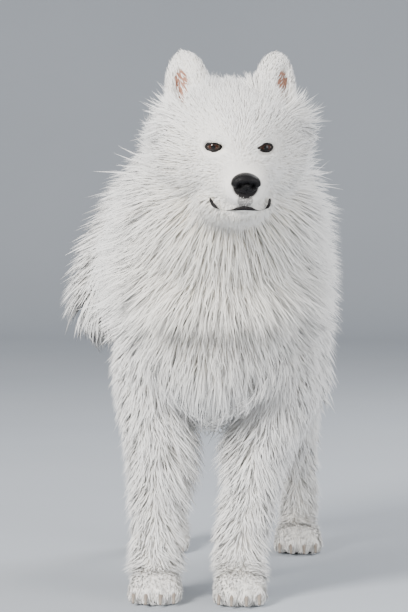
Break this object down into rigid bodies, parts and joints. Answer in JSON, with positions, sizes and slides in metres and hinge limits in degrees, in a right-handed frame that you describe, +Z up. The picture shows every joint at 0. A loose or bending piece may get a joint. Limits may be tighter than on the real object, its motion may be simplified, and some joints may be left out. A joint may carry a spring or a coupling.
{
  "type": "samoyed dog",
  "caption": "Life-size standing samoyed with a deep ruff, erect ears, head turned slightly and a plumed tail curled over the back and down one side.",
  "frame": {"origin": "middle of the dog's box on the floor, under the belly", "axes": "+Z up, the dog faces -Y, its left side is +X"},
  "size_m": [0.4294, 0.9232, 0.7802],
  "materials": {
    "coat": "matte long white hair with a faint cream tint in its depth",
    "nose": "satin black pebbled nose leather, also the lips and the rims of the eyes",
    "eye": "wet gloss, dark brown iris with a black pupil",
    "claw": "semi-gloss horn",
    "skin": "soft pale pink skin, seen in the ears; the render paints it with undercoat elsewhere"
  },
  "bodies": {
    "root": {"torso": "coat", "neck": "coat", "head": "coat", "lower_jaw": "coat", "nose": "nose", "tail_base": "coat", "tail_middle": "coat", "tail_end": "coat", "eye_left": "eye", "ear_left": "coat", "fore_leg_left": "coat", "fore_paw_left": "coat", "thigh_left": "coat", "shank_left": "coat", "hind_paw_left": "coat", "eye_right": "eye", "ear_right": "coat", "fore_leg_right": "coat", "fore_paw_right": "coat", "thigh_right": "coat", "shank_right": "coat", "hind_paw_right": "coat"}
  },
  "joints": []
}
